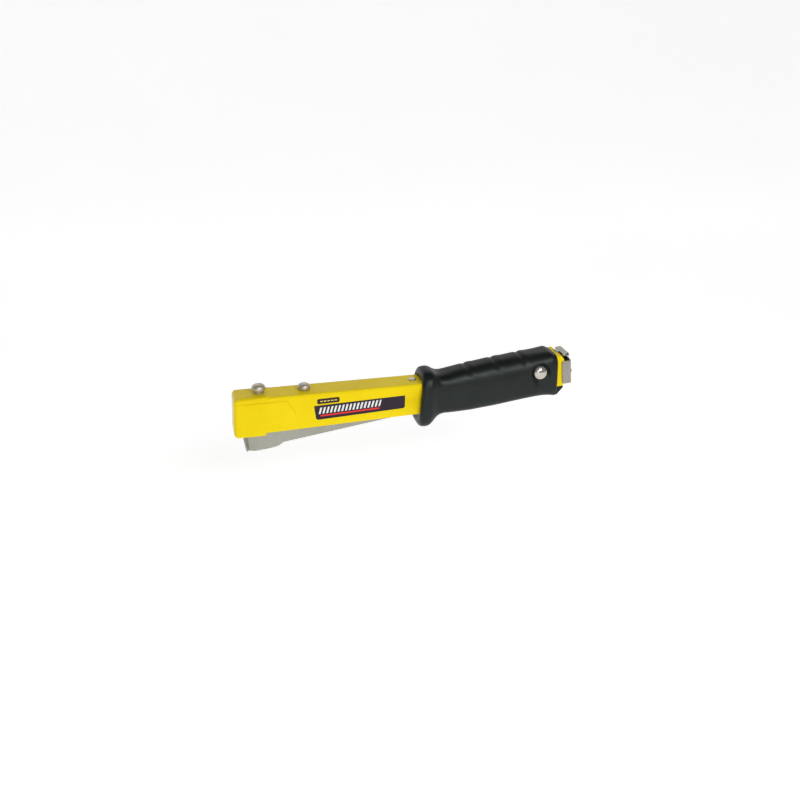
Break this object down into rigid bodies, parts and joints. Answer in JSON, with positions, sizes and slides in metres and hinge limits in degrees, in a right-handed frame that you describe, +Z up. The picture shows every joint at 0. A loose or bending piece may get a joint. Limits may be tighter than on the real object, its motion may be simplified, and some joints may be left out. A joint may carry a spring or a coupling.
{
  "type": "hammer tacker",
  "caption": "Hammer tacker: a pressed-steel body with a rubber grip, a hinged magazine that drives a staple when the nose is struck, and a slide-out pusher rod with a latch.",
  "frame": {"origin": "centre of the flat sole under the nose, on the mid-plane, just behind the staple exit", "axes": "+X along the body's top edge towards the end of the grip, +Y across the tool, +Z up out of the body's top face"},
  "size_m": [0.3162, 0.042, 0.0709],
  "materials": {
    "body_paint": "semi-gloss yellow powder coat",
    "grip_rubber": "satin",
    "bright_steel": "bright zinc plating",
    "dark_steel": "phosphated",
    "spring_steel": "oiled",
    "bumper_rubber": "matte",
    "brass_bush": "satin",
    "label_film": "gloss film",
    "casing_steel": "warm grey, satin",
    "staple_wire": "galvanised",
    "clip_steel": "bright plated sheet"
  },
  "bodies": {
    "housing": {"body_channel": "body_paint", "head_cap": "body_paint", "head_rivets": "bright_steel", "handle_rivet": "bright_steel", "blade_clamp": "dark_steel", "driver_blade": "spring_steel", "impact_bumper": "bumper_rubber", "stop_hanger": "dark_steel", "spring_post": "dark_steel", "grip": "grip_rubber", "pivot_rivets": "bright_steel", "pivot_bushes": "brass_bush", "side_labels": "label_film", "badge_labels": "label_film"},
    "magazine": {"magazine_casing": "casing_steel", "nose_plate": "casing_steel", "nose_foot": "casing_steel", "nose_rivets": "casing_steel", "staple_track": "bright_steel", "staple_rail": "bright_steel", "spring_seat": "dark_steel", "strike_bridge": "casing_steel", "return_spring": "spring_steel", "stop_pin": "bright_steel", "staple_strip": "staple_wire"},
    "pusher_rod": {"pusher_rod": "bright_steel", "rod_tip_nut": "bright_steel", "spring_seat_washer": "bright_steel", "end_cap": "clip_steel", "end_cap_nut": "bright_steel", "latch_pin": "bright_steel", "latch_rivets": "bright_steel", "pusher_spring": "spring_steel"},
    "follower": {"follower_shoe": "dark_steel", "follower_plate": "bright_steel"},
    "latch": {"latch_tongue": "clip_steel"}
  },
  "joints": [
    {"name": "magazine_pivot", "type": "hinge", "parent": "housing", "child": "magazine", "pos_m": [0.26335, 0, 0.05199], "axis": [0, 1, 0], "range_deg": [0, 3.2], "stiffness_Nm_per_rad": 190, "springref_deg": -1.72, "deforming": ["return_spring"]},
    {"name": "rod_slide", "type": "slide", "parent": "magazine", "child": "pusher_rod", "axis": [0.9905, 0, 0.1374], "range_m": [0, 0.2]},
    {"name": "follower_slide", "type": "slide", "parent": "pusher_rod", "child": "follower", "axis": [0.9905, 0, 0.1374], "range_m": [0, 0.09], "stiffness_N_per_m": 60, "springref_m": -0.09, "deforming": ["pusher_spring"]},
    {"name": "latch_hinge", "type": "hinge", "parent": "pusher_rod", "child": "latch", "pos_m": [0.28928, 0, 0.06447], "axis": [0, 1, 0], "range_deg": [0, 12], "stiffness_Nm_per_rad": 0.3, "springref_deg": -11.46}
  ]
}
